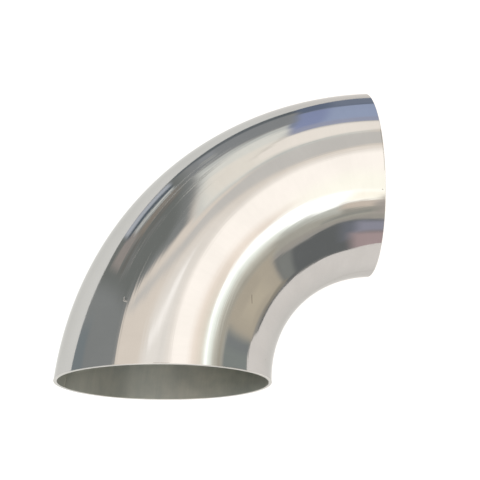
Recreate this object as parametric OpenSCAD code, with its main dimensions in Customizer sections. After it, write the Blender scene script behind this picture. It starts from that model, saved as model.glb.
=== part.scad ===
// Short-radius butt-weld pipe elbow, pressed in two half shells and seam welded.
//
// Frame: the origin is the centre of the first end's face. That end faces -Y.
// The tube's centreline bends in the XY plane, round a centre on the +X axis,
// and with a 90 degree bend the second end faces +X. The bend plane is z = 0,
// and +Z is the side that faces up when the elbow lies on its side.

/* [Tube] */
// Outside diameter of the tube
tube_od = 102; // [60:1:160]
// Thickness of the wall
wall_t = 1.5; // [1:0.1:3]

/* [Bend] */
// Radius of the bend, measured to the tube's centreline
bend_r = 107; // [90:1:240]
// Angle that the elbow turns through
bend_angle = 90; // [30:5:180]

/* [Seams] */
// Width of each seam weld at the outside face, where it is ground flush
seam_face_w = 2.6; // [2:0.1:4]
// Width of each seam weld at the inside face
seam_root_w = 1.8; // [1.2:0.1:2]
// Height that the root bead stands proud inside the tube
bead_h = 0.25; // [0.1:0.05:0.5]

/* [Ends] */
// Width of the broken edge on the inside and outside of each end
edge_break = 0.2; // [0.1:0.05:0.4]

/* [Hidden] */
$fn = 240;

// radii of the tube's outside and inside faces
r_out = tube_od / 2;
r_in = r_out - wall_t;
// radius of the root bead's crown, from its width and its height
bead_r = (pow(seam_root_w / 2, 2) + pow(bead_h, 2)) / (2 * bead_h);
// how far a cutting shape runs past the faces that it cuts
over = 1;
shell_colour = [0.80, 0.79, 0.77];
weld_colour = [0.72, 0.70, 0.66];

// The tube's wall in section, centred on the tube's centreline.
module wall_section() {
    difference() {
        circle(r = r_out);
        circle(r = r_in);
    }
}

// The gap that a seam weld fills, in section, on the side that +X points to.
// Its flanks pass through the weld's width at both faces of the wall.
module seam_gap_section() {
    slope = (seam_face_w - seam_root_w) / 2 / wall_t;
    x0 = r_in - over;
    x1 = r_out + over;
    h0 = seam_root_w / 2 - slope * over;
    h1 = seam_face_w / 2 + slope * over;
    polygon([[x0, -h0], [x1, -h1], [x1, h1], [x0, h0]]);
}

// One half of the wall in section, between the two seams. side is 1 for +Z.
module half_shell_section(side) {
    difference() {
        intersection() {
            wall_section();
            translate([-r_out - over, side > 0 ? 0 : -r_out - over])
                square([2 * (r_out + over), r_out + over]);
        }
        seam_gap_section();
        mirror([1, 0]) seam_gap_section();
    }
}

// A seam weld in section on the side that +X points to: flush outside, with
// its root bead standing proud inside.
module weld_section() {
    intersection() {
        wall_section();
        seam_gap_section();
    }
    intersection() {
        translate([r_in - bead_h + bead_r, 0]) circle(r = bead_r);
        polygon([[r_in - over, -seam_root_w / 2], [r_in + wall_t / 3, -seam_root_w / 2],
                 [r_in + wall_t / 3, seam_root_w / 2], [r_in - over, seam_root_w / 2]]);
    }
}

// Sweeps a section, drawn round the tube's centreline, along the bend.
module along_bend() {
    translate([bend_r, 0, 0])
        rotate([0, 0, 180 - bend_angle])
            rotate_extrude(angle = bend_angle)
                translate([bend_r, 0]) children();
}

// Puts a child at an end with the end's face on z = 0 and the tube above it.
module at_end(i) {
    if (i == 0)
        rotate([-90, 0, 0]) children();
    else
        translate([bend_r, 0, 0]) rotate([0, 0, -bend_angle]) translate([-bend_r, 0, 0])
            rotate([90, 0, 0]) children();
}

// The ring of metal that breaking both edges of an end takes away.
module edge_break_cut() {
    c = edge_break;
    rotate_extrude()
        polygon([[r_out - c - over, -over], [r_out + over, -over], [r_out + over, c + over]]);
    rotate_extrude()
        polygon([[r_in + c + over, -over], [r_in - over, c + over], [r_in - over, -over]]);
}

// A swept section with both ends faced square and their edges broken.
module faced() {
    difference() {
        along_bend() children();
        at_end(0) edge_break_cut();
        at_end(1) edge_break_cut();
    }
}

// The pressed half of the elbow above the bend plane.
module upper_half_shell() {
    color(shell_colour) faced() half_shell_section(1);
}

// The pressed half below the bend plane.
module lower_half_shell() {
    color(shell_colour) faced() half_shell_section(-1);
}

// The long weld, down the outside of the bend.
module outer_seam_weld() {
    color(weld_colour) faced() weld_section();
}

// The short weld, down the inside of the bend.
module inner_seam_weld() {
    color(weld_colour) faced() mirror([1, 0]) weld_section();
}

upper_half_shell();
lower_half_shell();
outer_seam_weld();
inner_seam_weld();
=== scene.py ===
import math

import bmesh
import bpy
import numpy as np
from mathutils import Matrix, Vector


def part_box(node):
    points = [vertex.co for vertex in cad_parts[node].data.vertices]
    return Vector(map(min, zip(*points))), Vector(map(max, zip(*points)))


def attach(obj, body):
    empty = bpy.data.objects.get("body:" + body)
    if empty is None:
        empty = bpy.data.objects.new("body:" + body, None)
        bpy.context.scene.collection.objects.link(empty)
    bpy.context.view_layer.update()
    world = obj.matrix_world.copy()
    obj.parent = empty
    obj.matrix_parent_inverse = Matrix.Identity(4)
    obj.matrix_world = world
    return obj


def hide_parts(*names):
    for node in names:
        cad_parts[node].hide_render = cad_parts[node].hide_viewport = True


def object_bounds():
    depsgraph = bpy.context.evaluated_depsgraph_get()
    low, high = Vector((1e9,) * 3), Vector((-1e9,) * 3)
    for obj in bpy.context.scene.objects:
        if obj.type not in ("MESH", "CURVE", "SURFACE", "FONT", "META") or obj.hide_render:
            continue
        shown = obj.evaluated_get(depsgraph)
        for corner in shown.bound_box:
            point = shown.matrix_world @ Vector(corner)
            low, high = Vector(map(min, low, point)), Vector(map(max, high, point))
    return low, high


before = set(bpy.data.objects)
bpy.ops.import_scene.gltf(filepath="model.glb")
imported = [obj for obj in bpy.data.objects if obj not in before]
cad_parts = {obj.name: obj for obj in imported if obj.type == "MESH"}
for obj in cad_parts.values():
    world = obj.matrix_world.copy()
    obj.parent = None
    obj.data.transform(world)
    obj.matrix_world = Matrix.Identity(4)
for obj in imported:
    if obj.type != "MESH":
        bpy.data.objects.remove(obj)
cad_low, cad_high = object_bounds()

MM = 0.001
scene = bpy.context.scene
scene.view_settings.view_transform = "Standard"
scene.view_settings.look = "None"

# ---------------------------------------------------------------- measures, from the frame
# The tube's outside diameter is the height of the part as it lies on its side; its
# wall, read off the faces of the upper half shell's first end, is given as a number.
upper_low, upper_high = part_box("upper_half_shell")
R_OUT = upper_high.z / MM                     # 51
R_BEND = cad_high.x / MM                      # 107: the second end's face
weld_low, weld_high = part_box("outer_seam_weld")
SEAM_OUT = (weld_high.z - weld_low.z) / MM / 2  # half width of a seam outside, 1.3
WALL = 1.5
R_IN = R_OUT - WALL
SEAM_IN = 0.9                                 # half width of a seam inside
BEAD = 0.25                                   # height of the root bead
HALF_PI = math.pi / 2


# ---------------------------------------------------------------- smooth noise for the forms
def lattice_noise(seed):
    """A smooth periodic noise of two variables, the same on every run."""
    rng = np.random.RandomState(seed)
    table = rng.uniform(-1, 1, (64, 64))

    def f(x, y):
        xi, yi = np.floor(x).astype(int), np.floor(y).astype(int)
        fx, fy = x - xi, y - yi
        fx, fy = fx * fx * (3 - 2 * fx), fy * fy * (3 - 2 * fy)
        a, b = table[xi % 64, yi % 64], table[(xi + 1) % 64, yi % 64]
        c, d = table[xi % 64, (yi + 1) % 64], table[(xi + 1) % 64, (yi + 1) % 64]
        return (a * (1 - fx) + b * fx) * (1 - fy) + (c * (1 - fx) + d * fx) * fy

    return f


wave_a, wave_b, wave_c = lattice_noise(3), lattice_noise(8), lattice_noise(21)


def hand_polish(theta, phi):
    """How far hand polishing has left the outside below the true tube, in mm."""
    s = theta * R_BEND
    w = phi * R_OUT
    return 0.010 * wave_a(s / 34 + 5, w / 13 + 9) + 0.004 * wave_b(s / 15 + 2, w / 6 + 4) - 0.014


# ---------------------------------------------------------------- sweeping a section
ROUND = [(0.0, 0.22), (0.012, 0.15), (0.045, 0.085), (0.095, 0.035), (0.16, 0.008), (0.22, 0.0), (0.34, 0.0), (0.6, 0.0), (1.1, 0.0)]


def stations(count):
    """(angle, distance from the nearer end in mm, inset) along the bend, ends rounded."""
    out = [(0.0, e, i, 0) for e, i in ROUND]
    a0 = 2.0 / R_BEND
    for k in range(count + 1):
        a = a0 + (HALF_PI - 2 * a0) * k / count
        out.append((a, None, 0.0, None))
    out += [(HALF_PI, e, i, 1) for e, i in reversed(ROUND)]
    return out


def place(a, z, station):
    """The point a mm outward from the centreline and z mm up, at a station."""
    angle, e, _, end = station
    if e is None:
        return (R_BEND - (R_BEND + a) * math.cos(angle), (R_BEND + a) * math.sin(angle), z)
    back = (R_BEND + a) - math.sqrt(max((R_BEND + a) ** 2 - e * e, 0.0))
    if end == 0:
        return (-a + back, e, z)
    return (R_BEND - e, R_BEND + a - back, z)


def sweep(name, outer, inner, count, outer_shift, inner_shift, mats):
    """A closed solid swept along the bend. outer and inner are lists of section angles
    with the same length; the shifts give each face's radius in mm at (theta, phi).
    mats are the materials of the outside, the inside, the rims and the flanks."""
    st = stations(count)
    n = len(outer)
    outer, inner = np.array(outer), np.array(inner)
    rows = []
    for s in st:
        theta = s[0] if s[1] is None else (s[1] / R_BEND if s[3] == 0 else HALF_PI - s[1] / R_BEND)
        ro = outer_shift(theta, outer) - s[2]
        ri = inner_shift(theta, inner) + s[2]
        pts = [place(r * math.cos(p), r * math.sin(p), s) for r, p in zip(ro, outer)]
        pts += [place(r * math.cos(p), r * math.sin(p), s) for r, p in zip(ri[::-1], inner[::-1])]
        rows.append(pts)
    m = 2 * n
    verts = np.array(rows).reshape(-1, 3) * MM
    faces, index = [], []
    for j in range(len(rows) - 1):
        edge = st[j][1] is not None and st[j][1] < 0.21 or st[j + 1][1] is not None and st[j + 1][1] < 0.21
        for i in range(m):
            k = (i + 1) % m
            faces.append((j * m + i, (j + 1) * m + i, (j + 1) * m + k, j * m + k))
            if i < n - 1:
                index.append(2 if edge else 0)
            elif i == n - 1 or i == m - 1:
                index.append(3)
            else:
                index.append(2 if edge else 1)
    last = (len(rows) - 1) * m
    for i in range(n - 1):
        a, b, c, d = i, i + 1, m - 2 - i, m - 1 - i
        faces.append((a, b, c, d)); index.append(2)
        faces.append((last + d, last + c, last + b, last + a)); index.append(2)
    mesh = bpy.data.meshes.new(name)
    mesh.from_pydata(verts.tolist(), [], faces)
    mesh.polygons.foreach_set("material_index", index)
    for mat in mats:
        mesh.materials.append(mat)
    bm = bmesh.new()
    bm.from_mesh(mesh)
    bmesh.ops.recalc_face_normals(bm, faces=bm.faces)
    for f in bm.faces:
        f.smooth = True
    for e in bm.edges:
        if len(e.link_faces) == 2 and e.calc_face_angle(0.0) > math.radians(38):
            e.smooth = False
    bm.to_mesh(mesh)
    bm.free()
    obj = bpy.data.objects.new(name, mesh)
    scene.collection.objects.link(obj)
    return obj


# ---------------------------------------------------------------- node helpers
class Nodes:
    def __init__(self, tree):
        self.tree = tree

    def add(self, kind, **settings):
        node = self.tree.nodes.new(kind)
        for k, v in settings.items():
            setattr(node, k, v)
        return node

    def link(self, a, b):
        self.tree.links.new(a, b)

    def put(self, socket, value):
        if isinstance(value, (int, float)):
            socket.default_value = value
        elif isinstance(value, (tuple, list)):
            socket.default_value = value
        else:
            self.link(value, socket)

    def math(self, op, a, b=None, c=None, clamp=False):
        node = self.add("ShaderNodeMath", operation=op, use_clamp=clamp)
        self.put(node.inputs[0], a)
        if b is not None:
            self.put(node.inputs[1], b)
        if c is not None:
            self.put(node.inputs[2], c)
        return node.outputs[0]

    def remap(self, x, a, b, c, d):
        node = self.add("ShaderNodeMapRange", clamp=True)
        self.put(node.inputs["Value"], x)
        for key, v in zip(("From Min", "From Max", "To Min", "To Max"), (a, b, c, d)):
            self.put(node.inputs[key], v)
        return node.outputs["Result"]

    def vector(self, x, y, z=0.0):
        node = self.add("ShaderNodeCombineXYZ")
        for s, v in zip(node.inputs, (x, y, z)):
            self.put(s, v)
        return node.outputs[0]

    def noise(self, vec, scale, detail=2.0, rough=0.5, kind="3D"):
        node = self.add("ShaderNodeTexNoise", noise_dimensions=kind)
        self.link(vec, node.inputs["Vector"])
        node.inputs["Scale"].default_value = scale
        node.inputs["Detail"].default_value = detail
        node.inputs["Roughness"].default_value = rough
        return node.outputs["Fac"]

    def mix(self, fac, a, b):
        node = self.add("ShaderNodeMix", data_type="RGBA")
        self.put(node.inputs["Factor"], fac)
        self.put(node.inputs[6], a)
        self.put(node.inputs[7], b)
        return node.outputs[2]

    def stroke(self, point, a, b, width):
        """1 on the line from a to b, falling to 0 at width from it. point, a and b are
        (along, around) in mm."""
        ba = (b[0] - a[0], b[1] - a[1], 0.0)
        span = max(ba[0] ** 2 + ba[1] ** 2, 1e-6)
        off = self.add("ShaderNodeVectorMath", operation="SUBTRACT")
        self.link(point, off.inputs[0])
        off.inputs[1].default_value = (a[0], a[1], 0.0)
        dot = self.add("ShaderNodeVectorMath", operation="DOT_PRODUCT")
        self.link(off.outputs[0], dot.inputs[0])
        dot.inputs[1].default_value = ba
        part = self.math("MULTIPLY", dot.outputs["Value"], 1.0 / span, clamp=True)
        reach = self.add("ShaderNodeVectorMath", operation="SCALE")
        reach.inputs[0].default_value = ba
        self.link(part, reach.inputs["Scale"])
        gap = self.add("ShaderNodeVectorMath", operation="DISTANCE")
        self.link(off.outputs[0], gap.inputs[0])
        self.link(reach.outputs[0], gap.inputs[1])
        return self.remap(gap.outputs["Value"], width * 0.35, width, 1.0, 0.0)


def bend_coordinates():
    """A node group that gives a surface point's place along the bend and round the
    tube, both in mm, from its place in the object."""
    tree = bpy.data.node_groups.new("bend_coordinates", "ShaderNodeTree")
    tree.interface.new_socket("along", in_out="OUTPUT", socket_type="NodeSocketFloat")
    tree.interface.new_socket("around", in_out="OUTPUT", socket_type="NodeSocketFloat")
    t = Nodes(tree)
    coord = t.add("ShaderNodeTexCoord")
    sep = t.add("ShaderNodeSeparateXYZ")
    t.link(coord.outputs["Object"], sep.inputs[0])
    x, y, z = sep.outputs
    u = t.math("SUBTRACT", R_BEND * MM, x)
    rho = t.math("SQRT", t.math("ADD", t.math("MULTIPLY", u, u), t.math("MULTIPLY", y, y)))
    theta = t.math("ARCTAN2", y, u)
    phi = t.math("ARCTAN2", z, t.math("SUBTRACT", rho, R_BEND * MM))
    out = t.add("NodeGroupOutput")
    t.link(t.math("MULTIPLY", theta, R_BEND), out.inputs["along"])
    t.link(t.math("MULTIPLY", phi, R_OUT), out.inputs["around"])
    return tree


BEND = bend_coordinates()


def material(name):
    mat = bpy.data.materials.new(name)
    mat.use_nodes = True
    t = Nodes(mat.node_tree)
    bsdf = mat.node_tree.nodes["Principled BSDF"]
    bsdf.inputs["Metallic"].default_value = 1.0
    bsdf.inputs["Specular Tint"].default_value = (0.74, 0.74, 0.73, 1)
    group = t.add("ShaderNodeGroup")
    group.node_tree = BEND
    return mat, t, bsdf, group.outputs["along"], group.outputs["around"]


def polished_steel(name, tint=(0.52, 0.515, 0.505), rough=0.062, grain=1.0, bright=(), dark_marks_and_painted_reflection=()):
    """Marks, each (start, end, width) in mm along and around: the bright ones are scratches that catch the light;
    the dark ones are painted into the colour: handling specks, a dark line along the second end's edge, and at the
    first end's rim a crushed spot that is partly a painted reflection of the camera."""
    mat, t, bsdf, s, w = material(name)
    # the lines that polishing wheels left along the bend: fine all over, and broader
    # ones in patches
    lines = t.noise(t.vector(t.math("MULTIPLY", s, 0.035), t.math("MULTIPLY", w, 2.2)), 1.0, 3.0, 0.6)
    streak = t.noise(t.vector(t.math("MULTIPLY", s, 0.024), t.math("MULTIPLY", w, 0.80), 5.0), 1.0, 2.0, 0.6)
    patch = t.remap(t.noise(t.vector(t.math("MULTIPLY", s, 0.028), t.math("MULTIPLY", w, 0.05), 11.0), 1.0, 1.0, 0.5), 0.42, 0.62, 0.12, 1.0)
    broad = t.noise(t.vector(t.math("MULTIPLY", s, 0.012), t.math("MULTIPLY", w, 0.16)), 1.0, 2.0, 0.5)
    cloud = t.noise(t.vector(t.math("MULTIPLY", s, 0.05), t.math("MULTIPLY", w, 0.05), 3.0), 1.0, 3.0, 0.55)
    # faint marks across the bend, from the last hand rub
    across = t.noise(t.vector(t.math("MULTIPLY", s, 0.42), t.math("MULTIPLY", w, 0.06), 17.0), 1.0, 3.0, 0.6)
    r = t.math("ADD", t.remap(lines, 0.3, 0.75, rough * 0.8, rough * 1.35), t.remap(cloud, 0.35, 0.7, -0.010, 0.020))
    tone = t.math("ADD", t.math("MULTIPLY", cloud, 0.75), t.math("MULTIPLY", across, 0.2))
    dark = tuple(c * 0.955 for c in tint) + (1.0,)
    light = tuple(min(1.0, c * 1.02) for c in tint) + (1.0,)
    colour = t.mix(t.remap(tone, 0.30, 0.65, 0.0, 1.0), dark, light)
    # long hairline scratches on the outer side, rough enough to look lighter than the
    # dark things round them
    hair = t.remap(t.noise(t.vector(t.math("MULTIPLY", s, 0.016), t.math("MULTIPLY", w, 0.95), 31.0), 1.0, 1.0, 0.5), 0.56, 0.70, 0.0, 1.0)
    where = t.math("MULTIPLY", t.remap(s, 16.0, 40.0, 0.0, 1.0), t.remap(s, 80.0, 125.0, 1.0, 0.0))
    where = t.math("MULTIPLY", where, t.math("MULTIPLY", t.remap(w, 54.0, 58.0, 0.0, 1.0), t.remap(w, 66.0, 76.0, 1.0, 0.0)))
    r = t.math("ADD", r, t.math("MULTIPLY", t.math("MULTIPLY", hair, where), 0.26))
    point = t.vector(s, w)
    for a, b, width in bright:
        r = t.math("ADD", r, t.math("MULTIPLY", t.stroke(point, a, b, width), 0.42))
    # dark marks painted into the colour: specks, a line along the second end's edge, and at the first end's rim a
    # crushed spot with a painted reflection of the camera
    for a, b, width in dark_marks_and_painted_reflection:
        colour = t.mix(t.math("MULTIPLY", t.stroke(point, a, b, width), 0.55), colour, (0.10, 0.085, 0.07, 1.0))
    t.link(r, bsdf.inputs["Roughness"])
    t.link(colour, bsdf.inputs["Base Color"])
    bump = t.add("ShaderNodeBump")
    bump.inputs["Strength"].default_value = 1.0
    bump.inputs["Distance"].default_value = 1.0
    h = t.math("ADD", t.math("MULTIPLY", lines, 0.0000016 * grain), t.math("MULTIPLY", broad, 0.000012 * grain))
    h = t.math("ADD", h, t.math("MULTIPLY", t.math("MULTIPLY", streak, patch), 0.000022 * grain))
    h = t.math("ADD", h, t.math("MULTIPLY", across, 0.0000015 * grain))
    # a patch on the outer side, near the first end, was left with coarser lines
    coarse = t.noise(t.vector(t.math("MULTIPLY", s, 0.022), t.math("MULTIPLY", w, 0.72), 23.0), 1.0, 1.0, 0.5)
    rubbed = t.math("MULTIPLY", t.remap(s, 16.0, 34.0, 0.0, 1.0), t.remap(s, 66.0, 92.0, 1.0, 0.0))
    rubbed = t.math("MULTIPLY", rubbed, t.math("MULTIPLY", t.remap(w, 55.0, 62.0, 0.0, 1.0), t.remap(w, 67.0, 76.0, 1.0, 0.0)))
    h = t.math("ADD", h, t.math("MULTIPLY", t.math("MULTIPLY", coarse, rubbed), 0.00006))
    t.link(h, bump.inputs["Height"])
    t.link(bump.outputs["Normal"], bsdf.inputs["Normal"])
    return mat


def satin_steel(name, tint=(0.548, 0.552, 0.520), rough=0.46):
    """The unpolished inside, with painted shade: its colour is darker along one flank, standing in for dimmer light
    there.
    """
    mat, t, bsdf, s, w = material(name)
    draw = t.noise(t.vector(t.math("MULTIPLY", s, 0.02), t.math("MULTIPLY", w, 0.55)), 1.0, 3.0, 0.6)
    mottle = t.noise(t.vector(t.math("MULTIPLY", s, 0.11), t.math("MULTIPLY", w, 0.11), 7.0), 1.0, 4.0, 0.6)
    fine = t.noise(t.vector(t.math("MULTIPLY", s, 1.6), t.math("MULTIPLY", w, 1.9), 2.0), 1.0, 3.0, 0.6)
    t.link(t.math("ADD", t.remap(draw, 0.3, 0.7, rough * 0.94, rough * 1.07), t.remap(mottle, 0.3, 0.7, -0.03, 0.04)), bsdf.inputs["Roughness"])
    dark = (tint[0] * 0.90, tint[1] * 0.92, tint[2] * 0.91, 1.0)
    light = (tint[0] * 1.06, tint[1] * 1.055, tint[2] * 1.02, 1.0)
    tone = t.remap(t.math("ADD", t.math("MULTIPLY", draw, 0.6), t.math("MULTIPLY", mottle, 1.4)), 0.78, 1.22, 0.0, 1.0)
    # painted shade: a darker copy of the inside's colour, blended in towards one flank
    flank = t.remap(t.math("ABSOLUTE", t.math("ADD", w, 56.0)), 20.0, 46.0, 1.0, 0.0)
    shade = [tuple(c * k for c, k in zip(col, (0.76, 0.765, 0.785))) + (1.0,) for col in (dark, light)]
    t.link(t.mix(flank, t.mix(tone, dark, light), t.mix(tone, shade[0], shade[1])), bsdf.inputs["Base Color"])
    bump = t.add("ShaderNodeBump")
    bump.inputs["Strength"].default_value = 1.0
    bump.inputs["Distance"].default_value = 1.0
    t.link(t.math("ADD", t.math("MULTIPLY", fine, 0.00002), t.math("MULTIPLY", draw, 0.000012)), bump.inputs["Height"])
    t.link(bump.outputs["Normal"], bsdf.inputs["Normal"])
    return mat


def cut_rim(name):
    mat, t, bsdf, s, w = material(name)
    n = t.noise(t.vector(t.math("MULTIPLY", s, 2.0), t.math("MULTIPLY", w, 0.12)), 1.0, 3.0, 0.6)
    t.link(t.remap(n, 0.3, 0.7, 0.26, 0.36), bsdf.inputs["Roughness"])
    t.link(t.mix(n, (0.62, 0.61, 0.585, 1.0), (0.68, 0.67, 0.645, 1.0)), bsdf.inputs["Base Color"])
    return mat


OUTSIDE = polished_steel(
    "steel_polished_outside",
    bright=[((25.2, 67.5), (23.9, 67.9), 0.42), ((23.9, 67.9), (23.7, 69.3), 0.38)],
    # the third dark mark, at the first end's rim, is partly a crushed spot and partly a painted reflection of the
    # camera; the fourth is a dark line along the second end's edge
    dark_marks_and_painted_reflection=[((49.6, 119.9), (45.0, 121.9), 0.30), ((13.3, 142.3), (13.5, 142.5), 0.36), ((0.2, 85.2), (0.2, 91.2), 0.34), ((167.8, 80.0), (167.8, 100.5), 0.36), ((165.9, 109.4), (166.3, 109.6), 0.35), ((25.0, 68.5), (24.6, 68.6), 0.3)],
)
INSIDE = satin_steel("steel_satin_inside")
RIM = cut_rim("steel_deburred_rim")
WELD_OUT = polished_steel("steel_weld_ground_flush", tint=(0.50, 0.494, 0.482), rough=0.13, grain=2.0)
WELD_IN = satin_steel("steel_weld_root", tint=(0.52, 0.515, 0.475), rough=0.42)

# ---------------------------------------------------------------- the four pieces
PHI_OUT = math.asin(SEAM_OUT / R_OUT)
PHI_IN = math.asin(SEAM_IN / R_IN)


def shell_out(theta, phi):
    return R_OUT + hand_polish(theta, phi)


def shell_in(theta, phi):
    return R_IN + 0.02 * wave_c(theta * R_BEND / 22 + 3, phi * R_IN / 18 + 30)


def half_shell(name, node, side):
    count = 132
    outer = [side * (PHI_OUT + (math.pi - 2 * PHI_OUT) * i / (count - 1)) for i in range(count)]
    inner = [side * (PHI_IN + (math.pi - 2 * PHI_IN) * i / (count - 1)) for i in range(count)]
    obj = sweep(name, outer, inner, 170, shell_out, shell_in, [OUTSIDE, INSIDE, RIM, INSIDE])
    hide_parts(node)
    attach(obj, "root")
    return obj


upper = half_shell("upper_shell", "upper_half_shell", 1)
lower = half_shell("lower_shell", "lower_half_shell", -1)


def seam(name, node, middle, steps, pitch):
    """middle is the section angle of the seam's centre: 0 outside the bend, pi inside."""
    count = 15
    outer = [middle + PHI_OUT * (2 * i / (count - 1) - 1) for i in range(count)]
    inner = [middle + PHI_IN * (2 * i / (count - 1) - 1) for i in range(count)]
    reach = R_BEND + R_OUT * math.cos(middle)

    def out(theta, phi):
        across = (phi - middle) / PHI_OUT
        low = 0.012 * (1 - across ** 2) * (1 + 0.5 * wave_b(theta * reach / 5.0, across * 0.5 + 11))
        return R_OUT + hand_polish(theta, phi) - low

    def inn(theta, phi):
        across = (phi - middle) / PHI_IN
        crown = np.clip(1 - across ** 2, 0, 1)
        along = theta * reach
        bow = 0.35 * across ** 2                     # ripples curve back at the bead's edges
        ripple = 0.5 + 0.5 * np.sin(2 * math.pi * (along / pitch - bow) + 0.7 * wave_a(along / 6, 1.5))
        height = BEAD * (0.62 + 0.26 * ripple + 0.12 * wave_c(along / 9 + 7, across * 0.3 + 2))
        return R_IN - np.clip(height, 0.02, BEAD) * np.sqrt(crown)

    obj = sweep(name, outer, inner, steps, out, inn, [WELD_OUT, WELD_IN, RIM, WELD_IN])
    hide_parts(node)
    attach(obj, "root")
    return obj


seam("outer_seam", "outer_seam_weld", 0.0, 1300, 1.35)
seam("inner_seam", "inner_seam_weld", math.pi, 560, 1.2)

# ---------------------------------------------------------------- the floor
FLOOR_Z = cad_low.z
floor_mesh = bpy.data.meshes.new("floor")
outline = [
    (-0.66, -0.45), (-0.68, 0.08), (-0.93, 0.26), (-1.32, 0.55), (-1.62, 0.88), (-1.80, 1.29), (-1.32, 1.155), (-0.54, 0.97), (-0.325, 0.80),
    (-0.19, 0.735), (-0.09, 0.705), (0.05, 0.69), (0.107, 0.585), (0.163, 0.51), (0.42, 0.46), (0.43, 0.20), (0.418, 0.055), (0.39, 0.030),
    (0.33, 0.019), (0.268, 0.014), (0.258, 0.005), (0.264, -0.015), (0.252, -0.042), (0.244, -0.080), (0.230, -0.107), (0.211, -0.136), (0.205, -0.170),
    (0.199, -0.215), (0.17, -0.45)]
floor_mesh.from_pydata([(x, y, FLOOR_Z) for x, y in outline], [], [tuple(range(len(outline)))])
floor = bpy.data.objects.new("floor", floor_mesh)
scene.collection.objects.link(floor)
mat = bpy.data.materials.new("pale_floor")
mat.use_nodes = True
b = mat.node_tree.nodes["Principled BSDF"]
b.inputs["Base Color"].default_value = (0.20, 0.203, 0.207, 1)
b.inputs["Roughness"].default_value = 0.9
b.inputs["Specular IOR Level"].default_value = 0.1
# it glows a little, cooler on the left and warmer on the right
t = Nodes(mat.node_tree)
place_node = t.add("ShaderNodeTexCoord")
parts = t.add("ShaderNodeSeparateXYZ")
t.link(place_node.outputs["Object"], parts.inputs[0])
t.link(t.mix(t.remap(parts.outputs[0], 0.0, 0.14, 0.0, 1.0), (0.945, 0.945, 0.925, 1), (0.945, 0.895, 0.86, 1)), b.inputs["Emission Color"])
b.inputs["Emission Strength"].default_value = 1.0
floor_mesh.materials.append(mat)

# ---------------------------------------------------------------- the studio round the part
# A large dome with soft panels, as light boxes and flags would stand round a table.
# Each panel is an outline in degrees: compass angle clockwise from +Y, and height
# above the horizon. It has a colour and the softness of its edge.
def smooth(x):
    x = np.clip(x, 0, 1)
    return x * x * (3 - 2 * x)


def panel_mask(az, el, outline, soft):
    pts = np.array(outline, float)
    mid = pts[:, 0].mean()
    a = (az - mid + 180) % 360 - 180 + mid
    inside = np.zeros(az.shape, bool)
    dist = np.full(az.shape, 1e9)
    narrow = np.cos(np.radians(el)) ** 2         # a degree of compass is short near the top
    for i in range(len(pts)):
        (x0, y0), (x1, y1) = pts[i], pts[(i + 1) % len(pts)]
        cross = (y0 > el) != (y1 > el)
        with np.errstate(divide="ignore", invalid="ignore"):
            xi = (x1 - x0) * (el - y0) / (y1 - y0) + x0
        inside ^= cross & (a < xi)
        dx, dy = x1 - x0, y1 - y0
        t = np.clip(((a - x0) * dx + (el - y0) * dy) / (dx * dx + dy * dy), 0, 1)
        dist = np.minimum(dist, np.sqrt(narrow * (a - x0 - t * dx) ** 2 + (el - y0 - t * dy) ** 2))
    return smooth(0.5 + np.where(inside, dist, -dist) / (2 * soft))


def box(a0, a1, e0, e1):
    return [(a0, e0), (a1, e0), (a1, e1), (a0, e1)]


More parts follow.
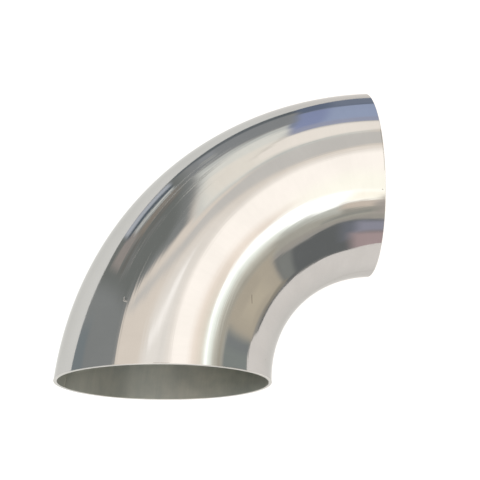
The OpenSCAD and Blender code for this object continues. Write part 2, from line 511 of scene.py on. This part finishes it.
# (outline, softness, colour), later panels over earlier ones
PANELS = [
    # the far room: dim walls, a pale ceiling
    (box(-180, 180, 42, 91), 8, (1.12, 1.01, 0.90)),
    (box(-180, 180, -91, -14), 3, (0.36, 0.36, 0.35)),
    # behind the camera: a tall soft box between two grey flags
    (box(168, 264, -30, 44), 5, (0.27, 0.27, 0.27)),
    (box(186, 212, -2, 50), 4, (1.30, 1.24, 1.16)),
    (box(216, 222, -6, 50), 3, (0.16, 0.16, 0.165)),
    (box(226, 252, 6, 40), 5, (0.86, 0.88, 0.92)),
    # right, high: the warm main light
    (box(46, 190, 49.5, 91), 4.5, (1.66, 1.56, 1.46)),
    (box(116, 191, 44.5, 69.5), 8, (1.67, 1.63, 1.46)),
    (box(65, 112.5, 39, 55), 5, (1.38, 1.22, 1.08)),
    (box(59, 89, 39, 48.5), 5, (1.20, 1.10, 0.96)),
    # right: the sill under the hot strip
    (box(61.5, 167, 20.5, 38), 2, (0.60, 0.58, 0.51)),
    (box(59, 113, 27.5, 39), 4, (0.78, 0.75, 0.65)),
    (box(59, 117, 32, 39), 3, (1.06, 1.06, 0.96)),
    (box(118, 143, 31, 39), 3, (0.80, 0.81, 0.74)),
    ([(57, 34), (77, 35), (100, 35.5), (124, 36.5), (124, 44), (57, 42)], 3.4, (1.50, 1.58, 1.48)),
    ([(57, 37.5), (77, 38.5), (89, 39), (100, 39), (117, 38.2), (133, 36.8), (139, 38.5), (145, 41.5), (155, 42.5), (161.5, 52), (139.5, 53), (117.5, 51.2), (107, 48.2), (97, 45.7), (89, 43), (81, 40.9), (57, 39.6)], 1.6, (1.92, 1.95, 1.90)),
    (box(142, 159.5, 42.5, 52), 3, (1.68, 1.61, 1.42)),
    (box(142, 157, 34, 40.5), 2, (0.92, 0.80, 0.69)),
    (box(158, 171, 25.5, 46.5), 3, (0.62, 0.56, 0.52)),
    (box(144, 161, 28.5, 33.5), 2, (0.50, 0.48, 0.43)),
    (box(59, 115, 24, 26.5), 1.3, (0.59, 0.55, 0.46)),
    ([(135, 23), (147, 26), (157, 28.5), (157, 31), (145, 28.5), (135, 25.5)], 1.0, (0.42, 0.42, 0.385)),
    ([(117.5, 15.5), (139.5, 19.5), (157.5, 19.5), (167, 21.5), (167, 25.5), (155, 25.5), (137, 22.5), (117, 21.5)], 1.5, (0.54, 0.51, 0.46)),
    # right, low: furniture
    (box(61.5, 88.5, -12, 20.5), 2, (0.34, 0.37, 0.355)),
    (box(84, 87, -11.5, 19.5), 1.6, (0.31, 0.33, 0.335)),
    (box(88, 112.8, -15.5, 23.5), 2.2, (0.66, 0.59, 0.475)),
    (box(86, 101, -18, -13), 1.8, (0.43, 0.415, 0.38)),
    (box(93.5, 105.5, -5.5, 10), 4, (0.75, 0.67, 0.53)),
    ([(112.5, -17.5), (113.5, 15.5), (120.5, 14), (129.5, 14), (135.5, 17), (142.5, 19.5), (151.5, 20), (169.5, 17.5), (169.5, -17.5)], 1.6, (0.195, 0.205, 0.208)),
    ([(113, -14.5), (113.8, 14.8), (121, 13.5), (118.5, -14.5)], 1.8, (0.33, 0.34, 0.325)),
    (box(145, 155.5, -2.5, 18.5), 5, (0.26, 0.275, 0.32)),
    (box(152, 171.5, 5, 17), 3.5, (0.43, 0.43, 0.52)),
    (box(149.5, 171.5, -21.5, 4), 4.5, (0.60, 0.47, 0.475)),
    ([(96, -15.5), (104, -13), (112, -11.5), (115, -14), (106, -18), (96, -18)], 1.2, (0.40, 0.37, 0.31)),
    (box(59.5, 151.5, -21.5, -17), 1.2, (0.27, 0.27, 0.265)),
    # left, high: a cream sheet, with a grey flag across it
    (box(-110, 46, 71.5, 91), 4.5, (1.25, 1.19, 1.12)),
    ([(-59, 48), (-49, 54), (-38.5, 59.5), (-28, 62.5), (-18, 64.5), (-8, 64), (-2.5, 61.5), (1.5, 57.5), (7.5, 55), (17, 53), (31, 49), (41.5, 60.5), (32.5, 68.4), (2.5, 69.4), (-12.5, 69.1), (-23, 67.5), (-33, 64.5), (-43.5, 61), (-54.5, 54.5)], 1.8, (0.87, 0.84, 0.80)),
    ([(-34, 75.2), (-24, 76.3), (0, 77), (14, 75.6), (24, 74.4), (22, 73.2), (13, 73.4), (0, 75.1), (-22, 74.9), (-32, 74.0)], 0.9, (1.58, 1.52, 1.46)),
    ([(2, 79.5), (15, 77.6), (30, 75.6), (27, 77.2), (14, 79)], 1.2, (1.13, 1.08, 1.02)),
    # left: a dark slate flag
    ([(-112.5, -10.5), (-111, 48), (-71, 47.5), (-60, 45.5), (-54, 47), (-49, 50), (-44, 53), (-38.5, 54.6), (-33.5, 56.6), (-28.5, 57.4), (-22, 57.2), (-23.5, 52.5), (-25.5, 42), (-26.5, 32.5), (-27.5, -10.5)], 2.0, (0.345, 0.36, 0.36)),
    ([(-61, -4.5), (-59.5, 42), (-51, 46), (-43, 49), (-35, 52), (-30, 48), (-30, 23), (-31, -4.5)], 3.2, (0.245, 0.26, 0.25)),
    (box(-112, -70, -8.5, 9), 4, (0.295, 0.335, 0.355)),
    ([(-56.5, 24.5), (-49.5, 26.5), (-43.5, 29.5), (-37.5, 30.5), (-37.5, 32), (-44.5, 31), (-51.5, 28.5), (-57.5, 26.5)], 1.0, (0.33, 0.33, 0.325)),
    (box(-56, -32.5, 20.5, 24), 1.5, (0.24, 0.235, 0.22)),
    (box(-56, -46, 5, 18), 1.6, (0.46, 0.415, 0.39)),
    (box(-46, -32, 14.5, 21.5), 1.8, (0.385, 0.34, 0.295)),
    (box(-46.5, -33, 8.5, 12.5), 0.8, (0.90, 0.92, 0.90)),
    (box(-49, -33, 4, 7.7), 0.8, (0.12, 0.155, 0.195)),
    (box(-48.5, -33, -3, 3.5), 0.9, (0.64, 0.68, 0.76)),
    # left: a tall cream panel with its lower shade
    ([(-27, 18.5), (-24.5, 42), (-20.5, 55.5), (-16.5, 60.5), (-4.5, 58.5), (21, 52), (20.5, 37.5), (-2, 36.5), (-2.5, 18.5)], 1.7, (0.82, 0.84, 0.81)),
    ([(-24, 24.5), (-23, 42), (-20, 53.5), (-15.5, 59.5), (-4.5, 57.5), (1, 53.5), (-2.5, 42), (-2, 24.5)], 2.4, (1.13, 1.12, 1.05)),
    ([(-22.5, 35.5), (-21, 46), (-14.5, 55.5), (-4.5, 55.5), (5, 52), (19, 50), (24.5, 36.5)], 2.5, (1.24, 1.17, 1.06)),
    ([(-2, 37), (-6, 46), (-1, 52), (19, 50), (28.5, 42), (26.5, 37)], 1.5, (1.34, 1.25, 1.15)),
    ([(-3, 34.5), (-8, 45.5), (-6.5, 46), (-1.5, 35.5)], 0.9, (1.02, 0.96, 0.88)),
    # left: a blue panel
    ([(-2.5, 4), (-2.3, 26), (-0.6, 35), (34.5, 35), (34.5, 4)], 1.2, (0.37, 0.43, 0.68)),
    (box(5, 34.5, 4.5, 34.5), 1.5, (0.48, 0.565, 0.79)),
    (box(-0.5, 34.5, 29.5, 34.5), 2.5, (0.49, 0.52, 0.68)),
    (box(-3, -1.4, 4, 25), 0.8, (0.34, 0.39, 0.53)),
    # left, low: greys behind the table's edge
    (box(-28, -2, -5.5, 18), 2.0, (0.37, 0.385, 0.40)),
    (box(-25, -21, 8, 12.5), 1.0, (0.58, 0.59, 0.58)),
    (box(-25, -21, 0, 6.5), 1.0, (0.44, 0.46, 0.49)),
    (box(-31.5, 2, -11.5, -2), 1.6, (0.19, 0.215, 0.235)),
    (box(-1.5, 34, -14.5, 4), 1.4, (0.20, 0.245, 0.35)),
    (box(5.5, 34, -14.5, 2), 2.0, (0.28, 0.325, 0.43)),
]


def dome_colour(az, el):
    out = np.empty(az.shape + (3,))
    out[:] = (0.50, 0.48, 0.45)
    for outline, soft, colour in PANELS:
        k = panel_mask(az, el, outline, soft)[..., None]
        out = out * (1 - k) + np.array(colour) * k
    return out


# ---- end of the panels
def make_dome(radius=9.0, n_az=720, n_el=360):
    az = np.radians(np.arange(n_az) * 360.0 / n_az - 180)
    el = np.radians(np.linspace(-90, 90, n_el + 1)[1:-1])
    A, E = np.meshgrid(az, el)
    pts = np.stack([np.sin(A) * np.cos(E), np.cos(A) * np.cos(E), np.sin(E)], -1).reshape(-1, 3) * radius
    pts = np.vstack([pts, [0, 0, -radius], [0, 0, radius]])
    rows = n_el - 1
    j, i = np.meshgrid(np.arange(rows - 1), np.arange(n_az), indexing="ij")
    k = (i + 1) % n_az
    quads = np.stack([j * n_az + i, j * n_az + k, (j + 1) * n_az + k, (j + 1) * n_az + i], -1).reshape(-1, 4)
    i = np.arange(n_az)
    k = (i + 1) % n_az
    low = np.stack([k, i, np.full(n_az, rows * n_az)], -1)
    top = np.stack([(rows - 1) * n_az + i, (rows - 1) * n_az + k, np.full(n_az, rows * n_az + 1)], -1)
    mesh = bpy.data.meshes.new("studio_dome")
    mesh.from_pydata(pts.tolist(), [], quads.tolist() + low.tolist() + top.tolist())
    colour = dome_colour(np.degrees(A), np.degrees(E)).reshape(-1, 3)
    colour = np.vstack([colour, dome_colour(np.array([0.0, 0.0]), np.array([-90.0, 90.0]))])
    rgba = np.hstack([colour, np.ones((len(colour), 1))]).astype(np.float32)
    attr = mesh.attributes.new("glow", "FLOAT_COLOR", "POINT")
    attr.data.foreach_set("color", rgba.ravel())
    obj = bpy.data.objects.new("studio_dome", mesh)
    obj.location = (cad_low + cad_high) / 2
    scene.collection.objects.link(obj)
    mat = bpy.data.materials.new("studio_glow")
    mat.use_nodes = True
    t = Nodes(mat.node_tree)
    mat.node_tree.nodes.clear()
    src = t.add("ShaderNodeAttribute", attribute_name="glow")
    em = t.add("ShaderNodeEmission")
    t.link(src.outputs["Color"], em.inputs["Color"])
    em.inputs["Strength"].default_value = 1.15
    t.link(em.outputs[0], t.add("ShaderNodeOutputMaterial").inputs["Surface"])
    mat.cycles.emission_sampling = "NONE"
    mesh.materials.append(mat)
    obj.visible_camera = False
    obj.visible_shadow = False
    return obj


make_dome()

world = bpy.data.worlds.new("plain_white")
world.use_nodes = True
world.node_tree.nodes["Background"].inputs["Color"].default_value = (1.05, 1.05, 1.05, 1)
scene.world = world

# ---------------------------------------------------------------- the camera
cam_data = bpy.data.cameras.new("camera")
cam_data.sensor_width = 36.0
cam_data.lens = 36.0
cam_data.shift_x = -0.0167
cam_data.shift_y = 0.0167
cam_data.clip_start, cam_data.clip_end = 0.01, 20.0
cam = bpy.data.objects.new("camera", cam_data)
scene.collection.objects.link(cam)
right = Vector((0.99893987, -0.01905026, -0.04190741)).normalized()
back = Vector((0.02992974, -0.422911, 0.90567682)).normalized()
up = back.cross(right)
turn = Matrix((right, up, back)).transposed().to_4x4()
cam.matrix_world = Matrix.Translation((0.04872444, -0.03863583, 0.23594188)) @ turn
scene.camera = cam
